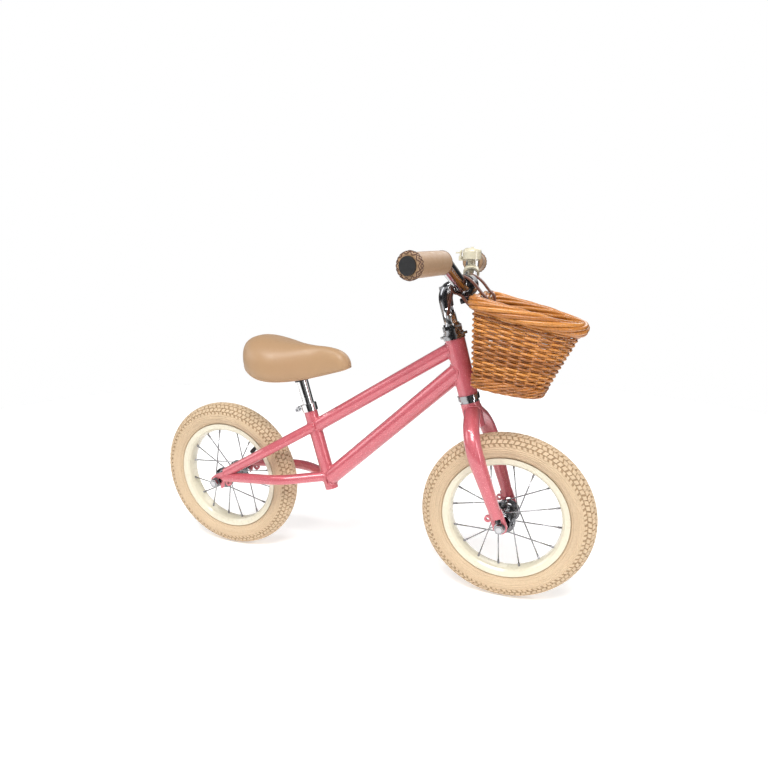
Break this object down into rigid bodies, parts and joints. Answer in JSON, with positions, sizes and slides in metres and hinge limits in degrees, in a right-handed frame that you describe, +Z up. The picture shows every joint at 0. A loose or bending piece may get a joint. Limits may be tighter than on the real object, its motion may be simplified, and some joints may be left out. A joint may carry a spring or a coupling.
{
  "type": "balance bike",
  "caption": "Child's balance bike with a steel frame, spoked wheels with tan tyres, leather saddle and grips, a bell and a wicker handlebar basket.",
  "frame": {"origin": "on the ground, midway between the two wheels and midway across the bike", "axes": "+X forwards, +Y to the rider's left, +Z up"},
  "size_m": [0.8639, 0.4052, 0.5953],
  "materials": {
    "frame_paint": "gloss with fine glitter",
    "chrome": "polished",
    "dark_chrome": "polished dark",
    "bright_steel": "satin",
    "dark_steel": "satin",
    "rim_cream": "gloss",
    "bell_cream": "gloss",
    "tyre_tan": "matte",
    "tube_rubber": "matte",
    "saddle_leather": "smooth semi-matte",
    "grip_leather": "smooth semi-matte",
    "strap_leather": "smooth semi-matte",
    "foam": "matte",
    "black_plastic": "matte",
    "wicker": "satin varnished willow"
  },
  "bodies": {
    "frame": {"head_tube": "frame_paint", "top_tube": "frame_paint", "down_tube": "frame_paint", "seat_tube": "frame_paint", "seat_stay_left": "frame_paint", "seat_stay_right": "frame_paint", "chain_stay_left": "frame_paint", "chain_stay_right": "frame_paint", "rear_dropouts": "frame_paint", "headset_cups": "dark_chrome", "headset_bearings": "bright_steel", "seat_clamp": "chrome", "seat_clamp_bolt": "bright_steel", "rear_axle": "bright_steel", "rear_cones": "dark_steel", "rear_axle_nuts": "bright_steel"},
    "saddle": {"seat_post": "chrome", "saddle_bracket": "dark_steel", "saddle_base": "black_plastic", "saddle_pad": "foam", "saddle_cover": "saddle_leather"},
    "fork": {"fork_steerer": "frame_paint", "fork_crown": "frame_paint", "fork_blade_left": "frame_paint", "fork_blade_right": "frame_paint", "fork_dropouts": "frame_paint", "crown_race": "dark_chrome", "headset_race": "dark_chrome", "headset_washer": "dark_chrome", "headset_nut": "dark_chrome", "front_axle": "bright_steel", "front_cones": "dark_steel", "front_axle_nuts": "bright_steel"},
    "cockpit": {"stem": "chrome", "stem_bolt": "bright_steel", "stem_wedge": "dark_steel", "stem_clamp_bolt": "bright_steel", "handlebar": "chrome", "grip_left": "grip_leather", "grip_right": "grip_leather", "bar_end_caps": "black_plastic", "bell_base": "bell_cream", "bell_dome": "bell_cream", "basket": "wicker", "basket_rim": "wicker", "basket_straps": "strap_leather", "strap_buckles": "chrome"},
    "striker": {"bell_striker": "bell_cream"},
    "front_wheel": {"front_tyre": "tyre_tan", "front_tube": "tube_rubber", "front_rim": "rim_cream", "front_spokes": "bright_steel", "front_hub": "dark_chrome", "front_bearings": "bright_steel"},
    "rear_wheel": {"rear_tyre": "tyre_tan", "rear_tube": "tube_rubber", "rear_rim": "rim_cream", "rear_spokes": "bright_steel", "rear_hub": "dark_chrome", "rear_bearings": "bright_steel"}
  },
  "joints": [
    {"name": "steering", "type": "hinge", "parent": "frame", "child": "fork", "pos_m": [0.2664, 0, 0.15], "axis": [-0.2756, 0, 0.9613], "range_deg": [-65, 65]},
    {"name": "stem_height", "type": "slide", "parent": "fork", "child": "cockpit", "axis": [-0.2756, 0, 0.9613], "range_m": [-0.012, 0.03]},
    {"name": "saddle_height", "type": "slide", "parent": "frame", "child": "saddle", "axis": [-0.2672, 0, 0.9636], "range_m": [-0.035, 0.05]},
    {"name": "front_wheel_spin", "type": "hinge", "parent": "fork", "child": "front_wheel", "pos_m": [0.282, 0, 0.15], "axis": [0, 1, 0], "continuous": true},
    {"name": "rear_wheel_spin", "type": "hinge", "parent": "frame", "child": "rear_wheel", "pos_m": [-0.282, 0, 0.15], "axis": [0, 1, 0], "continuous": true},
    {"name": "bell_lever", "type": "hinge", "parent": "cockpit", "child": "striker", "pos_m": [0.16979, 0.0585, 0.57805], "axis": [0, 1, 0], "range_deg": [-25, 4], "stiffness_Nm_per_rad": 0.02}
  ]
}
